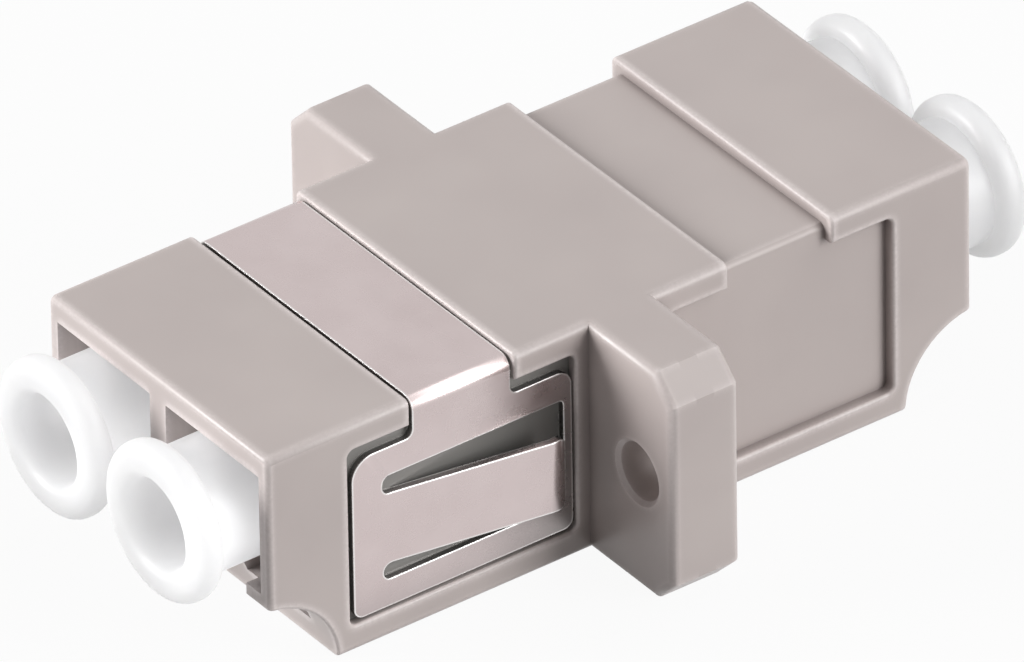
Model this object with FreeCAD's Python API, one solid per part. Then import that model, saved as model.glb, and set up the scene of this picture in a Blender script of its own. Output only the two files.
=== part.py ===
import FreeCAD, Part

# LC duplex fibre adapter with mounting ears, a folded spring clip and four dust caps.
#
# Frame: X runs across the two ports, Y runs along the fibre and Z points up.
# Y = 0 is the weld plane between the two moulded halves, and the clip half is at -Y.
# Z = 0 is the latch side of the body, on which the adapter lies.  Millimetres.

import math
import os

from FreeCAD import Vector

# Body, moulded in two halves that meet at Y = 0
BODY_W = 12.6
BODY_H = 9.3
HALF_LENGTH = 14.85
BODY_LONG_ROUND = 0.28
BODY_END_ROUND = 0.2

# Mounting ears, half of their thickness on each moulding
EAR_REACH = 11.0
EAR_HALF_THICKNESS = 1.43
EAR_CORNER = 1.0
EAR_ROUND = 0.3
SCREW_X = 9.0
SCREW_Z = BODY_H / 2
SCREW_R = 1.1
SCREW_EDGE = 0.15
SEAM_BREAK = 0.02

# Channel over the top for the clip's band, and side pockets for its plates
CHANNEL_NEAR = 4.5
CHANNEL_FAR = 8.9
CHANNEL_DEPTH = 0.45
CHANNEL_ROUND = 0.24
POCKET_NEAR = 1.97
POCKET_FAR = 11.5
POCKET_LOW = 1.05
POCKET_HIGH = 8.25
POCKET_DEPTH = 0.45
POCKET_ROUND = 0.3
RIM_ROUND = 0.12

# Finger notch across each latch-side end
NOTCH_R = 3.1
NOTCH_OVERHANG = 0.3
NOTCH_ROUND = 0.12

# Plug ports, two side by side in each half
PORT_PITCH = 6.25
PORT_AXIS_Z = 6.0
PORT_HALF = 2.4
PORT_LEAD = 0.27
PORT_LEAD_LENGTH = 0.6
FLOOR_T = 1.0
MID_WALL = 1.1
LATCH_SLOT_HALF = 1.82
LATCH_SLOT_END = 5.6
CATCH_NEAR = 8.3
CATCH_FAR = 11.3
CATCH_DEPTH = 1.25

# Sleeve holders and the split alignment sleeves inside them
HOLDER_R = 1.45
HOLDER_TIP = 4.6
HOLDER_EDGE = 0.2
SLEEVE_LENGTH = 6.8
SLEEVE_R = 0.8
SLEEVE_BORE_R = 0.62
SLEEVE_SLOT = 0.3
SLEEVE_SEAT_R = 0.86
SLEEVE_SEAT_DEPTH = 3.5
FERRULE_HOLE_R = 0.7
FERRULE_LEAD_R = 1.1
FERRULE_LEAD_DEPTH = 0.45

# Spring clip, one strip of sheet folded over the body
SHEET = 0.3
CLIP_INNER_X = BODY_W / 2 - POCKET_DEPTH
CLIP_INNER_Z = BODY_H - CHANNEL_DEPTH
BEND_R = 0.2
BAND_NEAR = 4.6
BAND_FAR = 8.7
PLATE_NEAR = 2.05
PLATE_FAR = 11.25
PLATE_LOW = 1.15
PLATE_HIGH = 7.65
PLATE_ROUND_FRONT_TOP = 0.9
PLATE_ROUND_REAR_TOP = 0.6
PLATE_ROUND_LOW = 0.4
NECK_ROUND = 0.3
WINDOW_NEAR = 2.4
WINDOW_FAR = 10.0
WINDOW_LOW = 2.25
WINDOW_HIGH = 6.5
WINDOW_ROUND = 0.2
TONGUE_LOW = 2.9
TONGUE_HIGH = 5.75
TONGUE_ROOT = 9.6
TONGUE_FLARE = math.radians(9.4)
TONGUE_BEND = 3.62
TONGUE_CURL = math.radians(32.0)
TONGUE_CURL_R = 0.9
TONGUE_ROUND = 0.3

# Dust caps, a hollow barrel with a thick rolled lip
CAP_LIP_R = 2.95
CAP_LIP_T = 1.1
CAP_LIP_ROUND = 0.45
CAP_BARREL_R = 2.34
CAP_HOLE_R = 1.68
CAP_HOLE_ROUND = 0.4
CAP_NOSE = 9.1
CAP_NOSE_EDGE = 0.35
CAP_END_WALL = 0.8
CAP_FRONT_FACE = 17.4
CAP_REAR_FACE = 17.6

EPS = 1e-4


def box(x, y, z):
    """Return the box between three (low, high) pairs."""
    size = [pair[1] - pair[0] for pair in (x, y, z)]
    return Part.makeBox(size[0], size[1], size[2], Vector(x[0], y[0], z[0]))


def cylinder_y(radius, x, z, y0, y1):
    """Return a cylinder along Y between y0 and y1."""
    return Part.makeCylinder(radius, y1 - y0, Vector(x, y0, z), Vector(0, 1, 0))


def outline(corners):
    """Return a face with rounded corners from (point, radius) pairs, in order round it."""
    points = [corner[0] for corner in corners]
    edges = []
    ends = []
    for index, (point, radius) in enumerate(corners):
        to_last = (points[index - 1] - point).normalize()
        to_next = (points[(index + 1) % len(points)] - point).normalize()
        if radius < EPS:
            ends.append((point, point))
            continue
        half_angle = to_last.getAngle(to_next) / 2
        reach = radius / math.tan(half_angle)
        start = point + to_last * reach
        end = point + to_next * reach
        inward = (to_last + to_next).normalize()
        middle = point + inward * (radius / math.sin(half_angle) - radius)
        edges.append(Part.Arc(start, middle, end).toShape())
        ends.append((start, end))
    for index, (_, end) in enumerate(ends):
        start = ends[(index + 1) % len(ends)][0]
        if end.distanceToPoint(start) > EPS:
            edges.append(Part.LineSegment(end, start).toShape())
    return Part.Face(Part.Wire(Part.__sortEdges__(edges)))


def edges_where(shape, test):
    """Return the edges of a shape whose bounding box and length pass a test."""
    return [edge for edge in shape.Edges if test(edge.BoundBox, edge.Length)]


def both_sides(shape):
    """Return a shape together with its mirror image across the X = 0 plane."""
    return shape.fuse(shape.mirror(Vector(0, 0, 0), Vector(1, 0, 0)))


def to_rear(shape):
    """Return a front piece turned end for end about Z."""
    rear = shape.copy()
    rear.rotate(Vector(0, 0, 0), Vector(0, 0, 1), 180)
    return rear


def body_block():
    """The front half of the body: a block with rounded long edges and a softened end."""
    half_w = BODY_W / 2
    corners = [(-half_w, 0), (half_w, 0), (half_w, BODY_H), (-half_w, BODY_H)]
    face = outline([(Vector(x, -HALF_LENGTH, z), BODY_LONG_ROUND) for x, z in corners])
    block = face.extrude(Vector(0, HALF_LENGTH, 0))
    end = edges_where(block, lambda bb, _: bb.YMax < -HALF_LENGTH + EPS)
    return block.makeFillet(BODY_END_ROUND, end)


def ear_plate():
    """The front half of the two mounting ears, one plate across the body."""
    half_w = EAR_REACH
    cut = EAR_CORNER
    corners = [
        (-half_w + cut, 0), (half_w - cut, 0), (half_w, cut), (half_w, BODY_H - cut),
        (half_w - cut, BODY_H), (-half_w + cut, BODY_H), (-half_w, BODY_H - cut), (-half_w, cut),
    ]
    face = outline([(Vector(x, -EAR_HALF_THICKNESS, z), 0) for x, z in corners])
    plate = face.extrude(Vector(0, EAR_HALF_THICKNESS, 0))
    front = edges_where(plate, lambda bb, _: bb.YMax < -EAR_HALF_THICKNESS + EPS)
    return plate.makeFillet(EAR_ROUND, front)


def screw_hole():
    """The tool for one screw hole, with a broken edge at the ear's face."""
    y0 = -EAR_HALF_THICKNESS
    hole = cylinder_y(SCREW_R, SCREW_X, SCREW_Z, y0 - 1, 1)
    mouth = Part.makeCone(
        SCREW_R + 2 * SCREW_EDGE, SCREW_R, 2 * SCREW_EDGE,
        Vector(SCREW_X, y0 - SCREW_EDGE, SCREW_Z), Vector(0, 1, 0))
    return hole.fuse(mouth)


def clip_channel():
    """The tool that sinks the clip's band into the top and the upper sides."""
    y = (-CHANNEL_FAR, -CHANNEL_NEAR)
    core_w = BODY_W / 2 - POCKET_DEPTH
    core = box((-core_w, core_w), (-CHANNEL_FAR - 1, -CHANNEL_NEAR + 1), (-1, BODY_H - CHANNEL_DEPTH))
    top = edges_where(core, lambda bb, _: bb.ZMin > 1 and bb.YLength > 1)
    core = core.makeFillet(CHANNEL_ROUND, top)
    return box((-BODY_W, BODY_W), y, (POCKET_LOW, BODY_H + 1)).cut(core)


def side_pocket():
    """The tool for the pocket that holds one plate of the clip."""
    x0 = BODY_W / 2 - POCKET_DEPTH
    corners = [
        (-POCKET_FAR, POCKET_LOW), (-POCKET_NEAR, POCKET_LOW),
        (-POCKET_NEAR, POCKET_HIGH), (-POCKET_FAR, POCKET_HIGH),
    ]
    face = outline([(Vector(x0, y, z), POCKET_ROUND) for y, z in corners])
    return face.extrude(Vector(1, 0, 0))


def port_cavity():
    """The tool for the right-hand port: plug channel, lead-in, latch slot and catch recess."""
    x = PORT_PITCH / 2
    low = PORT_AXIS_Z - PORT_HALF
    high = PORT_AXIS_Z + PORT_HALF
    mouth = -HALF_LENGTH
    channel = box((x - PORT_HALF, x + PORT_HALF), (mouth - 1, -MID_WALL), (low, high))
    wide = PORT_HALF + PORT_LEAD
    lead_end = mouth + PORT_LEAD_LENGTH
    corners = [(x - wide, mouth), (x + wide, mouth), (x + PORT_HALF, lead_end), (x - PORT_HALF, lead_end)]
    lead_in = outline([(Vector(px, py, low), 0) for px, py in corners]).extrude(Vector(0, 0, high - low))
    slot = box((x - LATCH_SLOT_HALF, x + LATCH_SLOT_HALF), (mouth - 1, -LATCH_SLOT_END), (FLOOR_T, low + 1))
    catch = box((x - PORT_HALF, x + PORT_HALF), (-CATCH_FAR, -CATCH_NEAR), (low - CATCH_DEPTH, low + 1))
    return channel.fuse([lead_in, slot, catch])


def sleeve_holder():
    """The right-hand tube that stands from the mid wall round the alignment sleeve."""
    x = PORT_PITCH / 2
    tube = cylinder_y(HOLDER_R, x, PORT_AXIS_Z, -HOLDER_TIP, -MID_WALL / 2)
    tip = edges_where(tube, lambda bb, _: bb.YMax < -HOLDER_TIP + EPS)
    return tube.makeChamfer(HOLDER_EDGE, tip)


def sleeve_bore():
    """The tool for the sleeve's seat, the ferrule hole beyond it and its lead-in."""
    x = PORT_PITCH / 2
    seat = cylinder_y(SLEEVE_SEAT_R, x, PORT_AXIS_Z, -SLEEVE_SEAT_DEPTH, 1)
    hole = cylinder_y(FERRULE_HOLE_R, x, PORT_AXIS_Z, -HOLDER_TIP - 1, 0)
    lead = Part.makeCone(
        FERRULE_LEAD_R, FERRULE_HOLE_R, FERRULE_LEAD_DEPTH,
        Vector(x, -HOLDER_TIP, PORT_AXIS_Z), Vector(0, 1, 0))
    return seat.fuse([hole, lead])


def break_seam(shape):
    """Break the outer edge of the weld face, which leaves a fine groove where the halves meet."""
    seam = edges_where(shape, lambda bb, _: bb.YMin > -EPS)
    return shape.makeChamfer(SEAM_BREAK, seam)


def soften_recess_rim(shape):
    """Round the rim of the channel and the pockets on the top and sides of the body."""
    half_w = BODY_W / 2

    def on_rim(bb, _):
        if bb.YMin < -POCKET_FAR - EPS or bb.YMax > -POCKET_NEAR + EPS:
            return False
        on_side = bb.XLength < EPS and abs(abs(bb.XMin) - half_w) < EPS
        on_top = bb.ZLength < EPS and bb.ZMin > BODY_H - EPS
        on_corner = (
            bb.YLength < EPS and bb.ZMax > BODY_H - EPS
            and max(-bb.XMin, bb.XMax) > half_w - EPS)
        return on_side or on_top or on_corner

    return shape.makeFillet(RIM_ROUND, edges_where(shape, on_rim))


def finger_notch():
    """The tool for the scooped notch across the latch side of the end."""
    start = Vector(-BODY_W, -HALF_LENGTH - NOTCH_OVERHANG, 0)
    return Part.makeCylinder(NOTCH_R, 2 * BODY_W, start, Vector(1, 0, 0))


def soften_notch(shape):
    """Round the rim of the finger notch, all the way round it."""
    low = -HALF_LENGTH - EPS
    high = -HALF_LENGTH + NOTCH_R

    def on_rim(bb, _):
        level = bb.ZLength < EPS and bb.YLength < EPS
        return low < bb.YMin and bb.YMax < high and bb.ZMax < NOTCH_R and (
            level or bb.ZLength > EPS) and bb.ZMin > -EPS

    return shape.makeFillet(NOTCH_ROUND, edges_where(shape, on_rim))


def housing_half():
    """One moulded half of the housing, in its front position."""
    shape = body_block().fuse(ear_plate()).removeSplitter()
    shape = break_seam(shape)
    shape = shape.cut(clip_channel().fuse(both_sides(side_pocket())))
    shape = soften_recess_rim(shape)
    shape = soften_notch(shape.cut(finger_notch()))
    shape = shape.cut([both_sides(screw_hole()), both_sides(port_cavity())])
    shape = shape.fuse(both_sides(sleeve_holder())).cut(both_sides(sleeve_bore()))
    return shape.removeSplitter()


def split_sleeve(x):
    """An alignment sleeve: a thin tube with a slot along its whole length."""
    y = (-SLEEVE_LENGTH / 2, SLEEVE_LENGTH / 2)
    tube = cylinder_y(SLEEVE_R, x, PORT_AXIS_Z, y[0], y[1])
    tube = tube.cut(cylinder_y(SLEEVE_BORE_R, x, PORT_AXIS_Z, y[0] - 1, y[1] + 1))
    slot = box(
        (x - SLEEVE_SLOT / 2, x + SLEEVE_SLOT / 2), (y[0] - 1, y[1] + 1),
        (PORT_AXIS_Z, PORT_AXIS_Z + 2 * SLEEVE_R))
    return tube.cut(slot)


def folded_strip():
    """The sheet bent over the body as one channel, before its outline is cut."""
    y0 = -PLATE_FAR
    sections = []
    for grow in (SHEET, 0):
        x = CLIP_INNER_X + grow
        z = CLIP_INNER_Z + grow
        corners = [
            (Vector(-x, y0, PLATE_LOW), 0), (Vector(x, y0, PLATE_LOW), 0),
            (Vector(x, y0, z), BEND_R + grow), (Vector(-x, y0, z), BEND_R + grow),
        ]
        sections.append(outline(corners).extrude(Vector(0, PLATE_FAR - PLATE_NEAR, 0)))
    return sections[0].cut(sections[1])


def clip_blank():
    """The side outline of the strip: the plate, and the neck that rises to the band."""
    corners = [
        ((-PLATE_FAR, PLATE_LOW), PLATE_ROUND_LOW),
        ((-PLATE_NEAR, PLATE_LOW), PLATE_ROUND_LOW),
        ((-PLATE_NEAR, PLATE_HIGH), PLATE_ROUND_REAR_TOP),
        ((-BAND_NEAR, PLATE_HIGH), NECK_ROUND),
        ((-BAND_NEAR, BODY_H + 1), 0),
        ((-BAND_FAR, BODY_H + 1), 0),
        ((-BAND_FAR, PLATE_HIGH), NECK_ROUND),
        ((-PLATE_FAR, PLATE_HIGH), PLATE_ROUND_FRONT_TOP),
    ]
    face = outline([(Vector(-BODY_W, y, z), radius) for (y, z), radius in corners])
    return face.extrude(Vector(2 * BODY_W, 0, 0))


def clip_window():
    """The tool for one plate's window, whose front end is two slots beside the tongue."""
    x0 = CLIP_INNER_X - 1
    slot_round = (TONGUE_LOW - WINDOW_LOW) / 2 - EPS
    corners = [
        ((-TONGUE_ROOT, TONGUE_LOW), 0), ((-WINDOW_FAR, TONGUE_LOW), slot_round),
        ((-WINDOW_FAR, WINDOW_LOW), slot_round), ((-WINDOW_NEAR, WINDOW_LOW), WINDOW_ROUND),
        ((-WINDOW_NEAR, WINDOW_HIGH), WINDOW_ROUND), ((-WINDOW_FAR, WINDOW_HIGH), slot_round),
        ((-WINDOW_FAR, TONGUE_HIGH), slot_round), ((-TONGUE_ROOT, TONGUE_HIGH), 0),
    ]
    face = outline([(Vector(x0, y, z), radius) for (y, z), radius in corners])
    return face.extrude(Vector(3, 0, 0))


def arc_point(centre, radius, angle):
    """Return the point at an angle from +X towards +Y on a circle in the XY plane."""
    return centre + Vector(math.cos(angle), math.sin(angle), 0) * radius


def clip_tongue():
    """The right-hand tongue: it flares out from its root and curls in at its tip."""
    root = Vector(CLIP_INNER_X, -TONGUE_ROOT, 0)
    along = Vector(math.sin(TONGUE_FLARE), math.cos(TONGUE_FLARE), 0)
    across = Vector(math.cos(TONGUE_FLARE), -math.sin(TONGUE_FLARE), 0)
    run = (TONGUE_ROOT - TONGUE_BEND) / math.cos(TONGUE_FLARE)
    inner = root + along * run
    outer = inner + across * SHEET
    centre = inner - across * TONGUE_CURL_R
    turn = -TONGUE_FLARE
    arcs = []
    for radius in (TONGUE_CURL_R, TONGUE_CURL_R + SHEET):
        arcs.append([arc_point(centre, radius, turn + TONGUE_CURL * step) for step in (0, 0.5, 1)])
    edges = [
        Part.LineSegment(root, inner),
        Part.Arc(*arcs[0]),
        Part.LineSegment(arcs[0][2], arcs[1][2]),
        Part.Arc(*arcs[1]),
        Part.LineSegment(outer, root + Vector(SHEET, 0, 0)),
        Part.LineSegment(root + Vector(SHEET, 0, 0), root),
    ]
    wire = Part.Wire(Part.__sortEdges__([edge.toShape() for edge in edges]))
    strip = Part.Face(wire)
    strip.translate(Vector(0, 0, TONGUE_LOW))
    strip = strip.extrude(Vector(0, 0, TONGUE_HIGH - TONGUE_LOW))
    tip_y = max(vertex.Y for vertex in strip.Vertexes)
    corners = [
        ((-TONGUE_ROOT - 1, TONGUE_LOW), 0), ((tip_y, TONGUE_LOW), TONGUE_ROUND),
        ((tip_y, TONGUE_HIGH), TONGUE_ROUND), ((-TONGUE_ROOT - 1, TONGUE_HIGH), 0),
    ]
    face = outline([(Vector(0, y, z), radius) for (y, z), radius in corners])
    return strip.common(face.extrude(Vector(BODY_W, 0, 0)))


def panel_clip():
    """The whole clip: band, two plates and two tongues, all one strip."""
    clip = folded_strip().common(clip_blank())
    clip = clip.cut(both_sides(clip_window()))
    return clip.fuse(both_sides(clip_tongue())).removeSplitter()


def dust_cap(x, face):
    """A front dust cap with its lip's outer face at Y = -face."""
    z = PORT_AXIS_Z
    lip = cylinder_y(CAP_LIP_R, x, z, -face, -face + CAP_LIP_T)
    lip = lip.makeFillet(CAP_LIP_ROUND, edges_where(lip, lambda bb, _: bb.YLength < EPS))
    barrel = cylinder_y(CAP_BARREL_R, x, z, -face + CAP_LIP_T / 2, -CAP_NOSE)
    nose = edges_where(barrel, lambda bb, _: bb.YMin > -CAP_NOSE - EPS)
    barrel = barrel.makeChamfer(CAP_NOSE_EDGE, nose)
    hole = cylinder_y(CAP_HOLE_R, x, z, -face - 1, -CAP_NOSE - CAP_END_WALL)
    cap = lip.fuse(barrel).removeSplitter().cut(hole)
    rim = edges_where(cap, lambda bb, _: (
        bb.YMax < -face + EPS and bb.XLength < 2 * CAP_HOLE_R + EPS))
    return cap.makeFillet(CAP_HOLE_ROUND, rim)


def build():
    """Return every node of the adapter by name."""
    half = housing_half()
    side = PORT_PITCH / 2
    return {
        "front_housing": half,
        "rear_housing": to_rear(half),
        "split_sleeve_left": split_sleeve(-side),
        "split_sleeve_right": split_sleeve(side),
        "panel_clip": panel_clip(),
        "front_left_dust_cap": dust_cap(-side, CAP_FRONT_FACE),
        "front_right_dust_cap": dust_cap(side, CAP_FRONT_FACE),
        "rear_left_dust_cap": to_rear(dust_cap(side, CAP_REAR_FACE)),
        "rear_right_dust_cap": to_rear(dust_cap(-side, CAP_REAR_FACE)),
    }


def main():
    """Write one STEP file per node."""
    os.makedirs("parts", exist_ok=True)
    for name, shape in build().items():
        solid = shape.Solids[0]
        solid.exportStep(os.path.join("parts", name + ".step"))
        box_size = solid.BoundBox
        print(name, len(shape.Solids), solid.isValid(), round(solid.Volume, 2), len(solid.Faces), box_size)


main()
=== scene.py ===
"""Dressed model of a two-port fibre adapter with ears, a spring clip and four dust caps.

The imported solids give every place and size.  Lengths in this file are millimetres unless a
name says otherwise, and MM turns them into metres.
"""

import logging
import math
from collections.abc import Callable
from dataclasses import dataclass, field
from enum import Enum

import bmesh
import bpy
from mathutils import Matrix, Vector

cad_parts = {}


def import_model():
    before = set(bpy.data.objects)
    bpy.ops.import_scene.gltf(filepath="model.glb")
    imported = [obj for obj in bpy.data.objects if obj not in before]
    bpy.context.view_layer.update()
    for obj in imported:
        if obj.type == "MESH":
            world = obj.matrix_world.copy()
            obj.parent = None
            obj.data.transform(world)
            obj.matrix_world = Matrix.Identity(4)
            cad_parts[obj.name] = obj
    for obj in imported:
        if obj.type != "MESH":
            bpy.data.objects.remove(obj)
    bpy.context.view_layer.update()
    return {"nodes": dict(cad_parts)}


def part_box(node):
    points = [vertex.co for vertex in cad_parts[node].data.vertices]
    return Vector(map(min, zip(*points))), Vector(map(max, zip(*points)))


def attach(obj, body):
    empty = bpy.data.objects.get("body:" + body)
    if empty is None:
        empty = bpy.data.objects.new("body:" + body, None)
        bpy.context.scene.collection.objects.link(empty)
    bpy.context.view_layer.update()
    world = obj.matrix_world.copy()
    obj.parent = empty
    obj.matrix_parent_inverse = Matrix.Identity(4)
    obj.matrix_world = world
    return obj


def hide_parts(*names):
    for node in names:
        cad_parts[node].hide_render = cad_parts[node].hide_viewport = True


MM = 0.001
MASK_SAMPLES = 8
BEVEL_SAMPLES = 6
MERGE_STEP = 0.0005
FLAT_ANGLE = 0.5
EDGE_SPAN = (0.70, 0.97)
RECESS_SPAN = (0.3, 0.8)
Colour = tuple[float, float, float]
Range = tuple[float, float]

log = logging.getLogger("fibre_adapter")


class End(Enum):
    """The end of the adapter that a piece belongs to, with the sign of its outward Y."""

    FRONT = -1
    REAR = 1


class Graph:
    """A small builder for one material's node tree."""

    def __init__(self, name: str) -> None:
        """Start an empty material.

        Args:
            name: the material's name.
        """
        self.material = bpy.data.materials.new(name)
        self.material.use_nodes = True
        self.tree = self.material.node_tree
        self.tree.nodes.clear()
        self.output = self.tree.nodes.new("ShaderNodeOutputMaterial")
        self.place = self.tree.nodes.new("ShaderNodeTexCoord").outputs["Object"]

    def node(self, kind: str, **values: object) -> bpy.types.Node:
        """Add a node and set its properties.

        Args:
            kind: the node's type name.
            values: property names and their values.

        Returns:
            The new node.
        """
        made = self.tree.nodes.new(kind)
        for name, value in values.items():
            setattr(made, name, value)
        return made

    def join(self, source: bpy.types.NodeSocket, target: bpy.types.NodeSocket) -> None:
        """Link one socket to another."""
        self.tree.links.new(source, target)

    def stretched(self, scale: Colour) -> bpy.types.NodeSocket:
        """Return the piece's own coordinates, stretched by a factor on each axis."""
        mapping = self.node("ShaderNodeMapping")
        mapping.inputs["Scale"].default_value = scale
        self.join(self.place, mapping.inputs["Vector"])
        return mapping.outputs["Vector"]

    def noise(
        self, feature: float, detail: float = 3.0, stretch: Colour = (1.0, 1.0, 1.0)
    ) -> bpy.types.NodeSocket:
        """Add a noise pattern.

        Args:
            feature: the size of one blot.
            detail: how many finer layers are added.
            stretch: factors that draw the pattern out along an axis.

        Returns:
            The socket of its value, around 0.5.
        """
        made = self.node("ShaderNodeTexNoise")
        made.inputs["Scale"].default_value = 1.0 / (feature * MM)
        made.inputs["Detail"].default_value = detail
        self.join(self.stretched(stretch), made.inputs["Vector"])
        return made.outputs["Fac"]

    def spread(
        self, source: bpy.types.NodeSocket, low: float, high: float,
        start: float = 0.3, stop: float = 0.7,
    ) -> bpy.types.NodeSocket:
        """Map a pattern onto a range of values.

        Args:
            source: the pattern.
            low: the value where the pattern is at start.
            high: the value where the pattern is at stop.
            start: the pattern's lower end.
            stop: the pattern's upper end.

        Returns:
            The socket of the mapped value.
        """
        made = self.node("ShaderNodeMapRange")
        for name, value in (
            ("From Min", start), ("From Max", stop), ("To Min", low), ("To Max", high),
        ):
            made.inputs[name].default_value = value
        self.join(source, made.inputs["Value"])
        return made.outputs["Result"]

    def maths(
        self, operation: str, first: bpy.types.NodeSocket, second: bpy.types.NodeSocket | float
    ) -> bpy.types.NodeSocket:
        """Combine two values.

        Args:
            operation: the name of the sum, such as MULTIPLY.
            first: the first value's socket.
            second: the second value, a socket or a number.

        Returns:
            The socket of the result.
        """
        made = self.node("ShaderNodeMath", operation=operation, use_clamp=True)
        self.join(first, made.inputs[0])
        if isinstance(second, float):
            made.inputs[1].default_value = second
        else:
            self.join(second, made.inputs[1])
        return made.outputs[0]

    def blend(
        self, factor: bpy.types.NodeSocket,
        first: Colour | bpy.types.NodeSocket, second: Colour,
    ) -> bpy.types.NodeSocket:
        """Blend from one colour to another.

        Args:
            factor: the socket that drives the blend, 0 to 1.
            first: the colour at 0, or the socket that holds it.
            second: the colour at 1.

        Returns:
            The socket of the blended colour.
        """
        made = self.node("ShaderNodeMix", data_type="RGBA")
        self.join(factor, made.inputs["Factor"])
        if isinstance(first, tuple):
            made.inputs[6].default_value = (*first, 1.0)
        else:
            self.join(first, made.inputs[6])
        made.inputs[7].default_value = (*second, 1.0)
        return made.outputs[2]

    def rounded_normal(self, radius: float) -> bpy.types.NodeSocket:
        """Return a normal that turns softly over every edge within a radius."""
        made = self.node("ShaderNodeBevel", samples=BEVEL_SAMPLES)
        made.inputs["Radius"].default_value = radius * MM
        return made.outputs["Normal"]

    def edges(self, reach: float) -> bpy.types.NodeSocket:
        """Return a mask that is 1 on the outer edges of the piece and 0 on its open faces."""
        made = self.node("ShaderNodeAmbientOcclusion", samples=MASK_SAMPLES,
                         only_local=True, inside=True)
        made.inputs["Distance"].default_value = reach * MM
        return self.spread(made.outputs["AO"], 1.0, 0.0, *EDGE_SPAN)

    def box_mask(self, low: Colour, high: Colour) -> bpy.types.NodeSocket:
        """Return a mask that is 1 inside a box and 0 outside, the same at -X as at +X.

        Args:
            low: the box's lowest corner.
            high: the box's highest corner.

        Returns:
            The socket of the mask.
        """
        axes = self.node("ShaderNodeSeparateXYZ")
        self.join(self.place, axes.inputs["Vector"])
        mask = None
        for axis in range(3):
            span = axes.outputs[axis]
            if axis == 0:
                span = self.maths("ABSOLUTE", span, 0.0)
            inside = self.node("ShaderNodeMath", operation="COMPARE")
            self.join(span, inside.inputs[0])
            inside.inputs[1].default_value = (low[axis] + high[axis]) / 2 * MM
            inside.inputs[2].default_value = (high[axis] - low[axis]) / 2 * MM
            mask = inside.outputs[0] if mask is None else self.maths(
                "MULTIPLY", mask, inside.outputs[0])
        return mask

    def recess_shade(self, reach: float, own: bool) -> bpy.types.NodeSocket:
        """Add a mask for painted shade: 1 deep in corners and narrow gaps and 0 on open faces.

        Args:
            reach: how far a facing surface still counts.
            own: whether only the piece's own surfaces count.

        Returns:
            The socket of the mask.
        """
        made = self.node("ShaderNodeAmbientOcclusion", samples=MASK_SAMPLES, only_local=own)
        made.inputs["Distance"].default_value = reach * MM
        return self.spread(made.outputs["AO"], 1.0, 0.0, *RECESS_SPAN)

    def bump(
        self, height: bpy.types.NodeSocket, depth: float, strength: float,
        under: bpy.types.NodeSocket | None = None,
    ) -> bpy.types.NodeSocket:
        """Add relief to the surface.

        Args:
            height: the pattern of the relief.
            depth: how deep the pattern goes.
            strength: how much of it shows, 0 to 1.
            under: the normal that the relief is laid over, if not the surface's own.

        Returns:
            The socket of the new normal.
        """
        made = self.node("ShaderNodeBump")
        made.inputs["Strength"].default_value = strength
        made.inputs["Distance"].default_value = depth * MM
        self.join(height, made.inputs["Height"])
        if under is not None:
            self.join(under, made.inputs["Normal"])
        return made.outputs["Normal"]

    def principled(
        self, colour: bpy.types.NodeSocket, roughness: bpy.types.NodeSocket,
        normal: bpy.types.NodeSocket, **settings: float | Colour,
    ) -> bpy.types.Material:
        """Finish the material with one principled shader.

        Args:
            colour: the socket of the base colour.
            roughness: the socket of the roughness.
            normal: the socket of the normal.
            settings: constant inputs, with underscores for the spaces in their names.

        Returns:
            The material.
        """
        shader = self.node("ShaderNodeBsdfPrincipled")
        self.join(colour, shader.inputs["Base Color"])
        self.join(roughness, shader.inputs["Roughness"])
        self.join(normal, shader.inputs["Normal"])
        for name, value in settings.items():
            shader.inputs[name.replace("_", " ")].default_value = value
        self.join(shader.outputs["BSDF"], self.output.inputs["Surface"])
        return self.material


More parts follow.
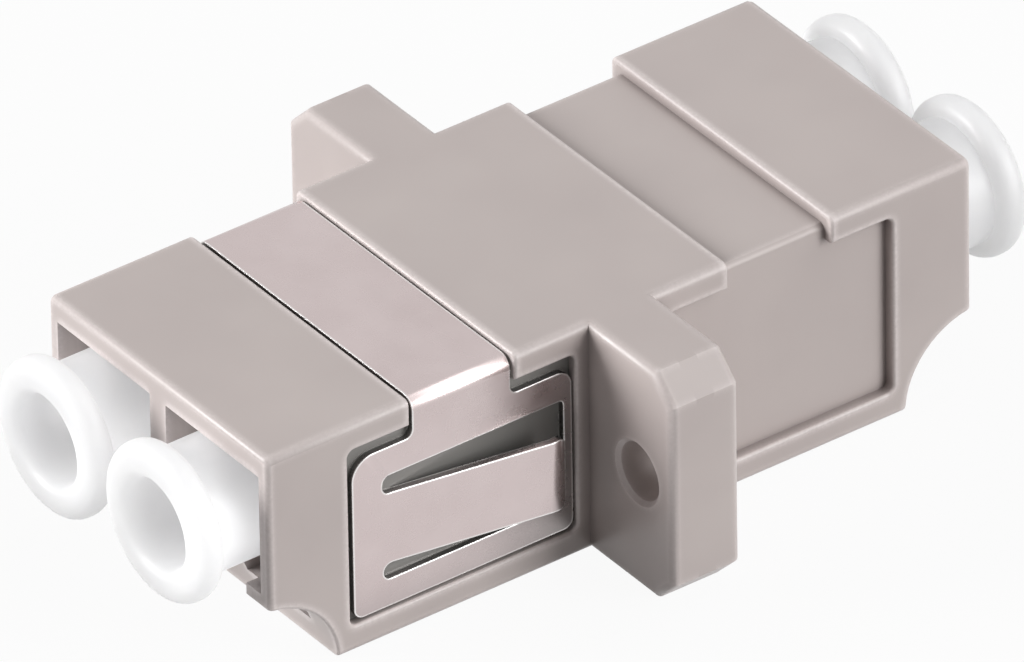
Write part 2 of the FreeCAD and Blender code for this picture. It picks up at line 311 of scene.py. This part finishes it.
@dataclass(frozen=True)
class HousingPlastic:
    """Beige engineering plastic, moulded satin.

    Its outer edges are lighter, partly from wear and partly as a painted highlight, but not at the
    weld or on the floors of the side pockets.  Corners and narrow gaps are darkened with painted
    shade, and a painted shadow darkens the pocket floors under the clip.
    """

    slot: str = "housing_plastic"
    light: Colour = (0.545, 0.482, 0.462)
    dark: Colour = (0.505, 0.444, 0.428)
    # Lighter tone on the outer edges: partly wear, partly a painted highlight.
    edge: Colour = (0.76, 0.69, 0.675)
    # Painted shade for corners and narrow gaps.
    painted_corner_shade: Colour = (0.22, 0.185, 0.18)
    edge_reach: float = 0.36
    recess_reach: float = 1.3
    seam_low: Colour = (-1.0, -0.37, -1.0)
    seam_high: Colour = (12.0, 0.37, 12.0)
    pocket_low: Colour = (5.7, -13.2, 0.3)
    pocket_high: Colour = (5.98, 13.2, 9.1)
    # Painted shadow on the pocket floors under the clip, and the box that holds it.
    painted_pocket_shadow: Colour = (0.235, 0.227, 0.216)
    pocket_shadow_low: Colour = (5.7, -11.6, 0.95)
    pocket_shadow_high: Colour = (5.92, -1.9, 8.35)
    cloud_size: float = 5.0
    grain_size: float = 0.12
    wear_and_highlight_span: Range = (0.55, 1.0)
    polish_size: float = 1.4
    polish: Range = (0.30, 0.40)
    relief: float = 0.004
    relief_share: float = 0.25
    gloss: float = 0.45

    def material(self) -> bpy.types.Material:
        """Return the housing's material."""
        graph = Graph(self.slot)
        cloud = graph.spread(graph.noise(self.cloud_size, 2.0), 0.0, 1.0)
        grain = graph.noise(self.grain_size, 3.0)
        tone = graph.blend(cloud, self.dark, self.light)
        # Lighter outer edges, partly wear and partly a painted highlight, kept off the weld and the
        # pocket floors.
        wear_and_highlight = graph.maths(
            "MULTIPLY", graph.edges(self.edge_reach), graph.spread(grain, *self.wear_and_highlight_span))
        mask = graph.maths("SUBTRACT", wear_and_highlight, graph.box_mask(self.seam_low, self.seam_high))
        mask = graph.maths("SUBTRACT", mask, graph.box_mask(self.pocket_low, self.pocket_high))
        colour = graph.blend(mask, tone, self.edge)
        # Painted shade darkens corners and narrow gaps.
        colour = graph.blend(graph.recess_shade(self.recess_reach, True), colour, self.painted_corner_shade)
        # Painted shadow: a dark tone on the pocket floors where the clip and its tongue shade them.
        under = graph.box_mask(self.pocket_shadow_low, self.pocket_shadow_high)
        colour = graph.blend(under, colour, self.painted_pocket_shadow)
        roughness = graph.spread(graph.noise(self.polish_size, 4.0), *self.polish)
        normal = graph.bump(grain, self.relief, self.relief_share)
        return graph.principled(colour, roughness, normal, Specular_IOR_Level=self.gloss)


@dataclass(frozen=True)
class SpringSteel:
    """Rolled stainless spring sheet with fine scratches, painted edge highlights and painted shade.
    """

    slot: str = "clip_steel"
    light: Colour = (0.66, 0.57, 0.565)
    dark: Colour = (0.61, 0.52, 0.515)
    # Painted shade near the parts that crowd the clip, such as the ear.
    painted_shade: Colour = (0.16, 0.16, 0.155)
    # Painted highlight tone for the sheared edges.
    edge: Colour = (0.92, 0.90, 0.89)
    edge_radius: float = 0.05
    edge_reach: float = 0.08
    recess_reach: float = 4.5
    cloud_size: float = 2.6
    rolled_size: float = 0.12
    rolled_stretch: Colour = (1.0, 0.05, 1.0)
    scratch_size: float = 0.09
    scratch_stretch: Colour = (1.0, 0.05, 0.6)
    scratch_span: Range = (0.70, 0.78)
    scratch_roughness: float = 0.06
    polish_size: float = 0.9
    polish: Range = (0.24, 0.31)
    relief: float = 0.001
    relief_share: float = 0.04

    def material(self) -> bpy.types.Material:
        """Return the clip's material."""
        graph = Graph(self.slot)
        cloud = graph.spread(graph.noise(self.cloud_size, 3.0), 0.0, 1.0)
        tone = graph.blend(cloud, self.dark, self.light)
        # Painted shade darkens the steel near the parts that crowd it.
        colour = graph.blend(graph.recess_shade(self.recess_reach, False), tone, self.painted_shade)
        # Painted highlight lightens the sheared edges.
        colour = graph.blend(graph.edges(self.edge_reach), colour, self.edge)
        rolled = graph.noise(self.rolled_size, 2.0, self.rolled_stretch)
        marks = graph.noise(self.scratch_size, 1.0, self.scratch_stretch)
        scratch = graph.spread(marks, 0.0, 1.0, *self.scratch_span)
        smooth = graph.spread(graph.noise(self.polish_size, 4.0), *self.polish)
        rough = graph.maths("MULTIPLY", scratch, self.scratch_roughness)
        roughness = graph.maths("ADD", smooth, rough)
        normal = graph.bump(
            rolled, self.relief, self.relief_share, graph.rounded_normal(self.edge_radius))
        return graph.principled(colour, roughness, normal, Metallic=1.0)


@dataclass(frozen=True)
class CapPlastic:
    """Soft natural white plastic that passes a little light.

    The faint glow is no property of the plastic.  It lifts what the lamps leave too dark.
    """

    slot: str = "cap_plastic"
    light: Colour = (0.72, 0.72, 0.725)
    dark: Colour = (0.69, 0.69, 0.71)
    glow: float = 0.14
    cloud_size: float = 1.8
    polish_size: float = 0.6
    polish: Range = (0.34, 0.48)
    relief_size: float = 0.5
    relief: float = 0.01
    relief_share: float = 0.15
    scatter: float = 6.0

    def material(self) -> bpy.types.Material:
        """Return the dust caps' material."""
        graph = Graph(self.slot)
        cloud = graph.spread(graph.noise(self.cloud_size, 3.0), 0.0, 1.0)
        colour = graph.blend(cloud, self.dark, self.light)
        roughness = graph.spread(graph.noise(self.polish_size, 3.0), *self.polish)
        normal = graph.bump(graph.noise(self.relief_size, 4.0), self.relief, self.relief_share)
        return graph.principled(
            colour, roughness, normal,
            Subsurface_Weight=1.0, Subsurface_Radius=(1.0, 1.0, 1.0),
            Subsurface_Scale=self.scatter * MM,
            Emission_Color=(1.0, 1.0, 1.0, 1.0), Emission_Strength=self.glow)


@dataclass(frozen=True)
class SleeveBronze:
    """Smooth phosphor bronze in two slightly different tones."""

    slot: str = "sleeve_bronze"
    light: Colour = (0.78, 0.52, 0.30)
    dark: Colour = (0.62, 0.38, 0.20)
    cloud_size: float = 0.7
    drawn_size: float = 0.03
    drawn_stretch: Colour = (1.0, 0.05, 1.0)
    polish: Range = (0.18, 0.30)
    relief: float = 0.001
    relief_share: float = 0.2

    def material(self) -> bpy.types.Material:
        """Return the alignment sleeves' material."""
        graph = Graph(self.slot)
        cloud = graph.spread(graph.noise(self.cloud_size, 3.0), 0.0, 1.0)
        colour = graph.blend(cloud, self.dark, self.light)
        drawn = graph.noise(self.drawn_size, 2.0, self.drawn_stretch)
        roughness = graph.spread(drawn, *self.polish)
        normal = graph.bump(drawn, self.relief, self.relief_share)
        return graph.principled(colour, roughness, normal, Metallic=1.0)


def seen_clearly(tree: bpy.types.NodeTree) -> bpy.types.NodeSocket:
    """Add a value that is 1 to the camera, in a clear reflection and through clear stuff.

    Args:
        tree: the node tree that gets the nodes.

    Returns:
        The socket of the value, 0 where a surface only gives diffuse light.
    """
    rays = tree.nodes.new("ShaderNodeLightPath")
    seen = rays.outputs["Is Camera Ray"]
    for name in ("Is Glossy Ray", "Is Transmission Ray"):
        either = tree.nodes.new("ShaderNodeMath")
        either.operation = "MAXIMUM"
        tree.links.new(seen, either.inputs[0])
        tree.links.new(rays.outputs[name], either.inputs[1])
        seen = either.outputs[0]
    return seen


@dataclass(frozen=True)
class StudioWhite:
    """A pale surface that shows white to the camera and still takes a soft shadow."""

    colour: Colour = (0.45, 0.45, 0.45)
    glow: float = 0.9
    white: float = 1.04

    def material(self) -> bpy.types.Material:
        """Return the floor's material."""
        graph = Graph("studio_white")
        matt = graph.node("ShaderNodeBsdfDiffuse")
        matt.inputs["Color"].default_value = (*self.colour, 1.0)
        white = graph.node("ShaderNodeEmission")
        white.inputs["Strength"].default_value = self.white
        mixed = graph.node("ShaderNodeMixShader")
        graph.join(graph.maths("MULTIPLY", seen_clearly(graph.tree), self.glow), mixed.inputs["Fac"])
        graph.join(matt.outputs["BSDF"], mixed.inputs[1])
        graph.join(white.outputs["Emission"], mixed.inputs[2])
        graph.join(mixed.outputs["Shader"], graph.output.inputs["Surface"])
        return graph.material


def deselect_all() -> None:
    """Leave edit mode and clear the selection."""
    if bpy.context.object and bpy.context.object.mode != "OBJECT":
        bpy.ops.object.mode_set(mode="OBJECT")
    bpy.ops.object.select_all(action="DESELECT")


def make_active(piece: bpy.types.Object) -> None:
    """Make one object the only selected and the active one."""
    deselect_all()
    piece.select_set(True)
    bpy.context.view_layer.objects.active = piece


def unpick_all(mesh: bmesh.types.BMesh) -> None:
    """Clear the selection of a mesh in edit mode."""
    for part in (mesh.verts, mesh.edges, mesh.faces):
        for item in part:
            item.select = False


def pick_faces(piece: bpy.types.Object, test: Callable[[bmesh.types.BMFace], bool]) -> None:
    """Select only the faces of the active object that pass a test, in edit mode."""
    mesh = bmesh.from_edit_mesh(piece.data)
    unpick_all(mesh)
    for face in mesh.faces:
        if test(face):
            face.select_set(True)
    bmesh.update_edit_mesh(piece.data)


def pick_edges(piece: bpy.types.Object, test: Callable[[Vector, float], bool]) -> None:
    """Select only the edges whose middle and length pass a test, in edit mode."""
    mesh = bmesh.from_edit_mesh(piece.data)
    unpick_all(mesh)
    for edge in mesh.edges:
        first, last = (vert.co for vert in edge.verts)
        if test((first + last) / 2, (last - first).length):
            edge.select_set(True)
    bmesh.update_edit_mesh(piece.data)


def dress(piece: bpy.types.Object, material: bpy.types.Material) -> None:
    """Give a piece one material on all its faces."""
    piece.data.materials.clear()
    piece.data.materials.append(material)


def smooth(piece: bpy.types.Object, angle: float = 35.0) -> None:
    """Shade a piece smooth, with creases sharper than an angle in degrees kept."""
    make_active(piece)
    bpy.ops.object.shade_smooth_by_angle(angle=math.radians(angle))


@dataclass
class DustCap:
    """A hollow push-in cap: a barrel, a rolled lip and a blind hole."""

    node: str
    body: str
    end: End
    facets: int = 96
    barrel_radius: float = 2.34
    lip_thickness: float = 1.1
    lip_round: float = 0.48
    hole_radius: float = 1.68
    hole_round: float = 0.4
    hole_draft: float = 0.9
    end_wall: float = 0.8
    nose_edge: float = 0.35

    def build(self) -> bpy.types.Object:
        """Return the cap as a new mesh in the place of its solid."""
        low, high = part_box(self.node)
        centre = (low + high) / 2
        length = high.y - low.y
        lip_radius = (high.x - low.x) / 2
        deselect_all()
        bpy.ops.mesh.primitive_cylinder_add(
            vertices=self.facets, radius=self.barrel_radius * MM,
            depth=length - self.lip_thickness * MM, end_fill_type="NGON")
        cap = bpy.context.object
        cap.name = cap.data.name = self.node.replace("_dust_cap", "_cap")
        bpy.ops.object.mode_set(mode="EDIT")
        self._shape_lip(cap, lip_radius)
        self._shape_hole(cap, length)
        self._round_edges(cap, lip_radius, length)
        bpy.ops.object.mode_set(mode="OBJECT")
        self._put_in_port(cap, centre, length)
        smooth(cap)
        return cap

    def _outer_face(self, face: bmesh.types.BMFace) -> bool:
        """Tell whether a face is the flat one at the lip end, which is +Z while modelling."""
        return face.normal.z > 0.99 and len(face.verts) == self.facets

    def _shape_lip(self, cap: bpy.types.Object, lip_radius: float) -> None:
        """Draw the lip out of the barrel's outer end."""
        pick_faces(cap, self._outer_face)
        bpy.ops.mesh.extrude_region_move()
        grow = lip_radius / (self.barrel_radius * MM)
        bpy.ops.transform.resize(value=(grow, grow, 1.0))
        bpy.ops.mesh.extrude_region_move(
            TRANSFORM_OT_translate={"value": (0.0, 0.0, self.lip_thickness * MM)})

    def _shape_hole(self, cap: bpy.types.Object, length: float) -> None:
        """Sink the blind hole, a little narrower at its bottom than at its mouth."""
        pick_faces(cap, self._outer_face)
        rim = max(vert.co.xy.length for vert in bmesh.from_edit_mesh(cap.data).verts)
        bpy.ops.mesh.inset(thickness=rim - self.hole_radius * MM, use_even_offset=True)
        bpy.ops.mesh.extrude_region_move(
            TRANSFORM_OT_translate={"value": (0.0, 0.0, self.end_wall * MM - length)})
        bpy.ops.transform.resize(value=(self.hole_draft, self.hole_draft, 1.0))

    def _round_edges(self, cap: bpy.types.Object, lip_radius: float, length: float) -> None:
        """Round the lip and the mouth of the hole, and chamfer the nose."""
        top = (length + self.lip_thickness * MM) / 2
        nose = -(length - self.lip_thickness * MM) / 2
        step = 0.02 * MM
        rounds = (
            (lip_radius, None, self.lip_round, 6),
            (self.hole_radius * MM, top, self.hole_round, 5),
            (self.barrel_radius * MM, nose, self.nose_edge, 3),
        )
        for radius, level, width, segments in rounds:
            def on_ring(middle: Vector, span: float, radius: float = radius,
                        level: float | None = level) -> bool:
                """Tell whether an edge lies on the ring of this radius and level."""
                flat = abs(middle.xy.length - radius * math.cos(math.pi / self.facets)) < step
                chord = span < 2.1 * radius * math.sin(math.pi / self.facets)
                return flat and chord and (level is None or abs(middle.z - level) < step)

            pick_edges(cap, on_ring)
            bpy.ops.mesh.bevel(offset=width * MM, segments=segments, profile=0.5, affect="EDGES")

    def _put_in_port(self, cap: bpy.types.Object, centre: Vector, length: float) -> None:
        """Turn the cap along its port and put its place into its mesh."""
        turn = Matrix.Rotation(-self.end.value * math.pi / 2, 4, "X")
        drop = Matrix.Translation((0.0, 0.0, -self.lip_thickness * MM / 2))
        cap.data.transform(Matrix.Translation(centre) @ turn @ drop)
        cap.data.update()


def merged_copy(node: str, name: str) -> bpy.types.Object:
    """Copy a solid and join its loose triangles.

    Args:
        node: the solid's name.
        name: the copy's name.

    Returns:
        The copy, selected and active.
    """
    copy = bpy.data.objects.new(name, bpy.data.objects[node].data.copy())
    copy.data.name = name
    bpy.context.scene.collection.objects.link(copy)
    make_active(copy)
    bpy.ops.object.mode_set(mode="EDIT")
    bpy.ops.mesh.select_all(action="SELECT")
    bpy.ops.mesh.remove_doubles(threshold=MERGE_STEP * MM)
    bpy.ops.mesh.customdata_custom_splitnormals_clear()
    bpy.ops.object.mode_set(mode="OBJECT")
    return copy


def join_flats(piece: bpy.types.Object) -> None:
    """Join the triangles of each flat face into one face."""
    make_active(piece)
    bpy.ops.object.mode_set(mode="EDIT")
    bpy.ops.mesh.select_all(action="SELECT")
    bpy.ops.mesh.dissolve_limited(angle_limit=math.radians(FLAT_ANGLE))
    bpy.ops.object.mode_set(mode="OBJECT")


def keep_flats_flat(piece: bpy.types.Object, angle: float) -> None:
    """Shade a piece smooth over its rounds, while its large faces stay flat.

    Args:
        piece: the piece.
        angle: the angle in degrees past which an edge stays sharp.
    """
    smooth(piece, angle)
    weighted = piece.modifiers.new("flat_faces", "WEIGHTED_NORMAL")
    weighted.keep_sharp = True
    bpy.ops.object.modifier_apply(modifier=weighted.name)


@dataclass
class Housing:
    """The two moulded halves of the body."""

    body: str = "adapter"
    ends: tuple[End, ...] = (End.FRONT, End.REAR)
    seam_break: float = 0.02
    half_width: float = 6.3
    height: float = 9.3
    reach: float = 14.85
    long_round: float = 0.28
    end_round: float = 0.2
    crease: float = 35.0

    def _mend_corners(self, half: bpy.types.Object) -> None:
        """Lay a clean fan over each rounded corner at the top of the open end."""
        across, up = self.half_width - self.long_round, self.height - self.long_round
        ring = self.long_round - self.end_round
        start = self.reach - self.end_round
        mesh = bmesh.new()
        mesh.from_mesh(half.data)

        def on_corner(place: Vector, side: int) -> bool:
            """Tell whether a point lies on the ball of the corner at one side."""
            x, y, z = side * place.x / MM, abs(place.y) / MM - start, place.z / MM
            away = math.hypot(math.hypot(x - across, z - up) - ring, y)
            return y > -0.001 and abs(away - self.end_round) < 0.003

        for side in (-1, 1):
            patch = [face for face in mesh.faces
                     if all(on_corner(vert.co, side) for vert in face.verts)]
            bmesh.ops.delete(mesh, geom=patch, context="FACES")
            rim = [edge for edge in mesh.edges if edge.is_boundary]
            cover = bmesh.ops.contextual_create(mesh, geom=rim)["faces"]
            middle = bmesh.ops.poke(mesh, faces=cover)["verts"]
            lean = math.sqrt(0.5) * self.end_round
            out = math.sqrt(0.5) * (ring + lean)
            for vert in middle:
                end = math.copysign(start + lean, vert.co.y)
                vert.co = Vector((side * (across + out), end, up + out)) * MM
        bmesh.ops.recalc_face_normals(mesh, faces=mesh.faces)
        mesh.to_mesh(half.data)
        mesh.free()

    def _close_seam(self, half: bpy.types.Object) -> None:
        """Push the broken edge where the halves meet out to the faces beside it."""
        mesh = bmesh.new()
        mesh.from_mesh(half.data)
        step = 0.005
        moves = []
        for vert in mesh.verts:
            if abs(vert.co.y) > step * MM:
                continue
            beside = [edge.other_vert(vert).co for edge in vert.link_edges]
            outer = [place for place in beside if abs(abs(place.y) / MM - self.seam_break) < step]
            if outer:
                moves.append((vert, min(outer, key=lambda place: (place - vert.co).length).copy()))
        for vert, place in moves:
            vert.co.x, vert.co.z = place.x, place.z
        mesh.to_mesh(half.data)
        mesh.free()

    def build(self) -> dict[str, bpy.types.Object]:
        """Return a smoothly shaded copy of each half, by the name of its solid."""
        halves = {}
        for end in self.ends:
            node = f"{end.name.lower()}_housing"
            half = merged_copy(node, f"{end.name.lower()}_shell")
            self._mend_corners(half)
            self._close_seam(half)
            join_flats(half)
            keep_flats_flat(half, self.crease)
            halves[node] = half
        return halves


@dataclass
class Clip:
    """The spring clip: the folded strip with its sheared edges broken."""

    node: str = "panel_clip"
    body: str = "adapter"
    edge_break: float = 0.035
    sheared_angle: float = 50.0
    crease: float = 30.0

    def build(self) -> bpy.types.Object:
        """Return a copy of the clip with a fine bevel on each sharp edge."""
        clip = merged_copy(self.node, "spring_clip")
        join_flats(clip)
        bevel = clip.modifiers.new("edge_break", "BEVEL")
        bevel.width = self.edge_break * MM
        bevel.segments = 2
        bevel.limit_method = "ANGLE"
        bevel.angle_limit = math.radians(self.sheared_angle)
        bevel.harden_normals = False
        bpy.ops.object.modifier_apply(modifier=bevel.name)
        keep_flats_flat(clip, self.crease)
        return clip


@dataclass
class Softbox:
    """A rectangular lamp that faces the adapter.

    The strength is how bright it makes a white surface that faces it, as a share of white.
    """

    name: str
    place: Colour
    along: Colour
    length: float
    width: float
    strength: float

    def build(self) -> None:
        """Hang the lamp, with its long side along its given direction."""
        place = Vector(self.place) * MM
        back = place.normalized()
        across = Vector(self.along).cross(back).normalized()
        data = bpy.data.lights.new(self.name, "AREA")
        data.shape = "RECTANGLE"
        data.size = self.width * MM
        data.size_y = self.length * MM
        data.energy = self.strength * math.pi ** 2 * place.length_squared
        lamp = bpy.data.objects.new(self.name, data)
        turn = Matrix((across, back.cross(across), back)).transposed().to_4x4()
        lamp.matrix_world = Matrix.Translation(place) @ turn
        bpy.context.scene.collection.objects.link(lamp)


def softboxes() -> list[Softbox]:
    """Return the key lamp behind on the right, one beside it and one in front on the left."""
    return [
        Softbox("key", (283.0, 242.0, 333.0), (-0.76, 0.0, 0.65), 900.0, 300.0, 0.55),
        Softbox("side", (470.0, 280.0, 170.0), (0.0, 0.0, 1.0), 450.0, 300.0, 0.57),
        Softbox("front", (-300.0, -480.0, 215.0), (0.0, 0.0, 1.0), 360.0, 220.0, 1.12),
    ]


@dataclass
class Studio:
    """The floor, the lamps, the world and the camera."""

    azimuth: float = 54.067
    elevation: float = 34.51
    roll: float = -0.926
    distance: float = 852.1
    focal: float = 878.6
    shift_x: float = -0.00102
    shift_y: float = 0.0093
    aim_height: float = 4.58
    floor_size: float = 4000.0
    floor_drop: float = 0.02
    ambient: float = 0.16
    reflected: float = 0.9
    lamps: list[Softbox] = field(default_factory=softboxes)

    def build(self) -> None:
        """Set up everything that isn't the object."""
        self._floor()
        self._world()
        for lamp in self.lamps:
            lamp.build()
        self._camera()

    def _floor(self) -> None:
        """Lay the pale floor under the adapter."""
        deselect_all()
        bpy.ops.mesh.primitive_plane_add(
            size=self.floor_size * MM, location=(0.0, 0.0, -self.floor_drop * MM))
        floor = bpy.context.object
        floor.name = "floor"
        dress(floor, StudioWhite().material())

    def _world(self) -> None:
        """Light everything softly from all round, and show white in clear reflections."""
        world = bpy.data.worlds.new("studio")
        bpy.context.scene.world = world
        world.use_nodes = True
        tree = world.node_tree
        sky = tree.nodes["Background"]
        sky.inputs["Color"].default_value = (1.0, 1.0, 1.0, 1.0)
        strength = tree.nodes.new("ShaderNodeMapRange")
        strength.inputs["To Min"].default_value = self.ambient
        strength.inputs["To Max"].default_value = self.reflected
        tree.links.new(seen_clearly(tree), strength.inputs["Value"])
        tree.links.new(strength.outputs["Result"], sky.inputs["Strength"])

    def _camera(self) -> None:
        """Stand the camera at its angle, aimed just over the middle of the base."""
        azimuth, elevation = math.radians(self.azimuth), math.radians(self.elevation)
        back = Vector((
            math.sin(azimuth) * math.cos(elevation),
            -math.cos(azimuth) * math.cos(elevation),
            math.sin(elevation)))
        level = Vector((math.cos(azimuth), math.sin(azimuth), 0.0))
        rise = back.cross(level)
        roll = math.radians(self.roll)
        right = level * math.cos(roll) + rise * math.sin(roll)
        up = rise * math.cos(roll) - level * math.sin(roll)
        data = bpy.data.cameras.new("camera")
        data.sensor_width = 36.0
        data.lens = self.focal
        data.shift_x = self.shift_x
        data.shift_y = self.shift_y
        data.clip_start = 0.05
        data.clip_end = 20.0
        camera = bpy.data.objects.new("camera", data)
        turn = Matrix((right, up, back)).transposed().to_4x4()
        aim = Vector((0.0, 0.0, self.aim_height * MM))
        camera.matrix_world = Matrix.Translation(aim + back * self.distance * MM) @ turn
        bpy.context.scene.collection.objects.link(camera)
        bpy.context.scene.camera = camera


def set_colour_view() -> None:
    """Show colours as they are, with no film look."""
    bpy.context.scene.view_settings.view_transform = "Standard"


def dust_caps() -> list[DustCap]:
    """Return the four caps, two at each end."""
    caps = []
    for end in End:
        for side in ("left", "right"):
            name = f"{end.name.lower()}_{side}"
            caps.append(DustCap(node=f"{name}_dust_cap", body=f"{name}_cap", end=end))
    return caps


def main() -> None:
    """Build the adapter's finishes and pieces, then the studio."""
    logging.basicConfig(level=logging.INFO, format="%(name)s: %(message)s")
    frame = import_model()
    set_colour_view()

    housing = Housing()
    moulded = HousingPlastic()
    plastic = moulded.material()
    for node, half in housing.build().items():
        dress(half, plastic)
        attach(half, housing.body)
        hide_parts(node)
        log.info("built %s with %d faces", half.name, len(half.data.polygons))
    bronze = SleeveBronze().material()
    for node in ("split_sleeve_left", "split_sleeve_right"):
        dress(frame["nodes"][node], bronze)
        log.info("dressed %s", node)

    clip = Clip()
    strip = clip.build()
    steel = SpringSteel()
    dress(strip, steel.material())
    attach(strip, clip.body)
    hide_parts(clip.node)
    log.info("built %s with %d faces", strip.name, len(strip.data.polygons))

    soft_white = CapPlastic()
    white = soft_white.material()
    for cap in dust_caps():
        piece = cap.build()
        dress(piece, white)
        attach(piece, cap.body)
        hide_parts(cap.node)
        log.info("built %s with %d faces", piece.name, len(piece.data.polygons))

    Studio().build()


if __name__ == "__main__":
    main()
